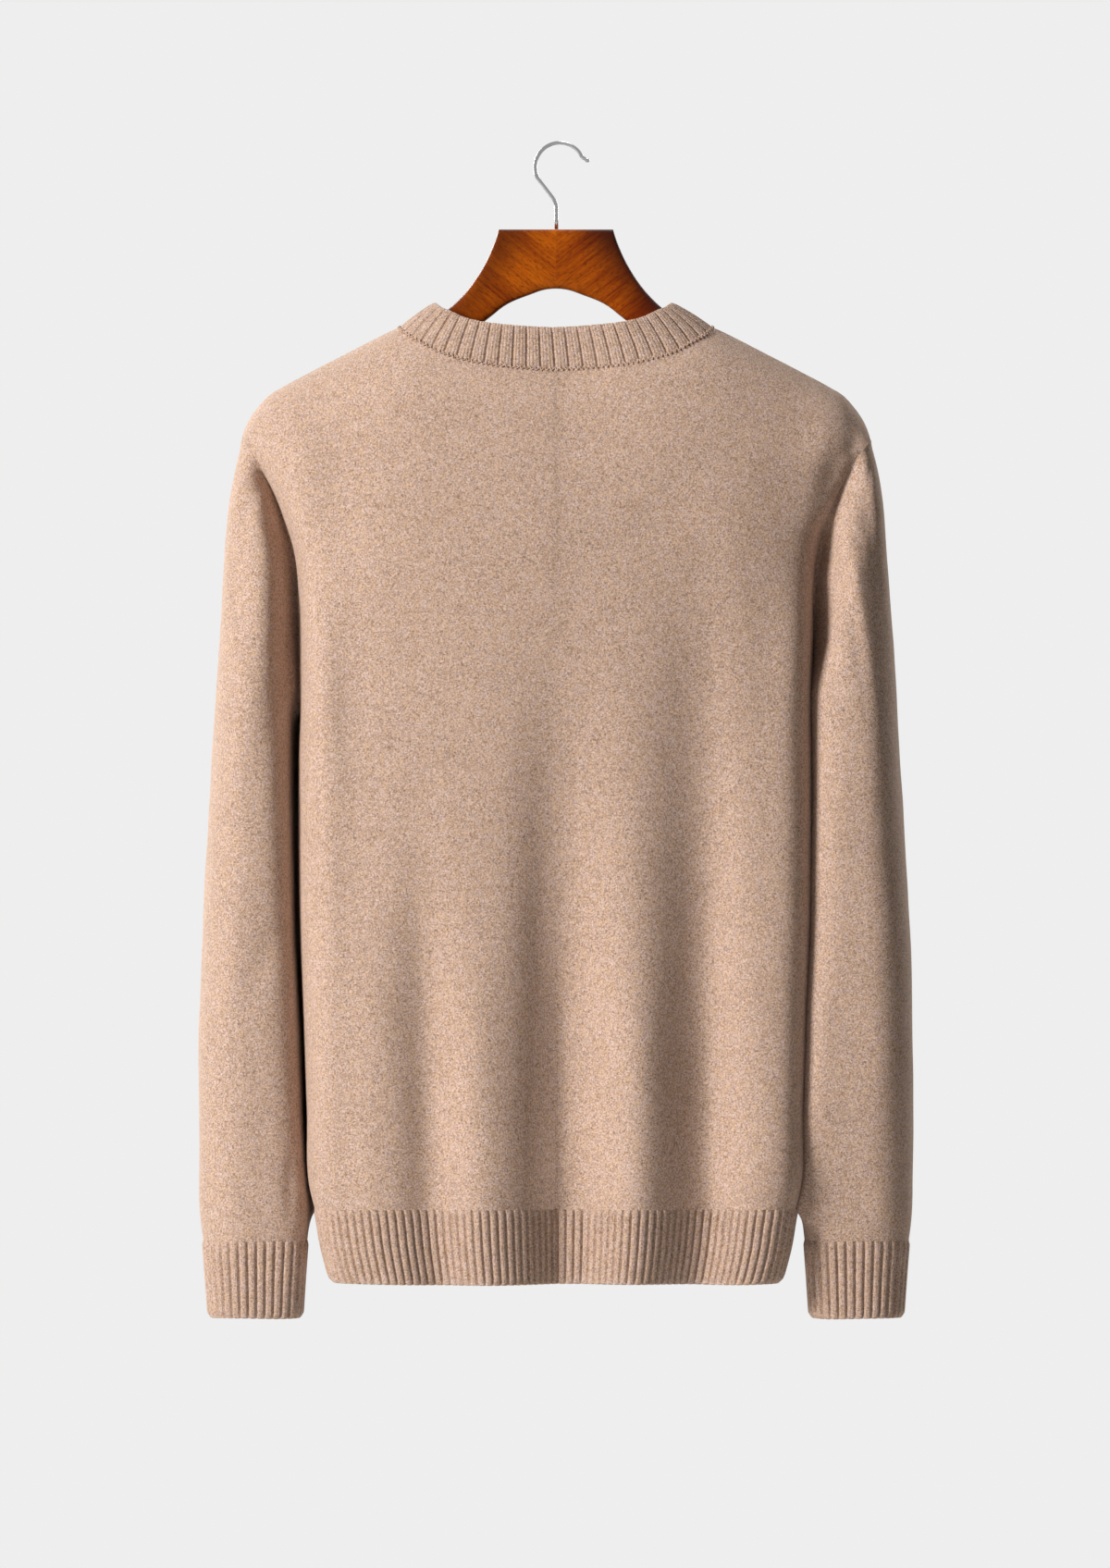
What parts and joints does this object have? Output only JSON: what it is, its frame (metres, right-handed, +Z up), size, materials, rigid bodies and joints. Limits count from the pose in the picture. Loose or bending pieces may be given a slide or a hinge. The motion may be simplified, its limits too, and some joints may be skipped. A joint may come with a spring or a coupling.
{
  "type": "crewneck sweater on a hanger",
  "caption": "Fine-knit crewneck sweater with long sleeves and ribbed neckband, cuffs and hem, hanging open on a wooden hanger with a wire hook.",
  "frame": {"origin": "inside the hanger's hook, where it bears on a rail", "axes": "+Z up, -Y towards the viewer of the sweater's back, +X to that viewer's right"},
  "size_m": [0.5146, 0.1644, 0.848],
  "materials": {
    "jersey": "brushed fine wool jersey, heather camel, matt",
    "rib": "ribbed wool knit, heather camel, matt",
    "wood": "reddish-brown stained wood, satin lacquer",
    "wire": "bright plated steel wire"
  },
  "bodies": {
    "root": {"back_panel": "jersey", "front_panel": "jersey", "sleeve_left": "jersey", "sleeve_right": "jersey", "neckband": "rib", "hem_rib_back": "rib", "hem_rib_front": "rib", "cuff_left": "rib", "cuff_right": "rib", "hanger_left": "wood", "hanger_right": "wood", "hanger_hook": "wire"}
  },
  "joints": []
}
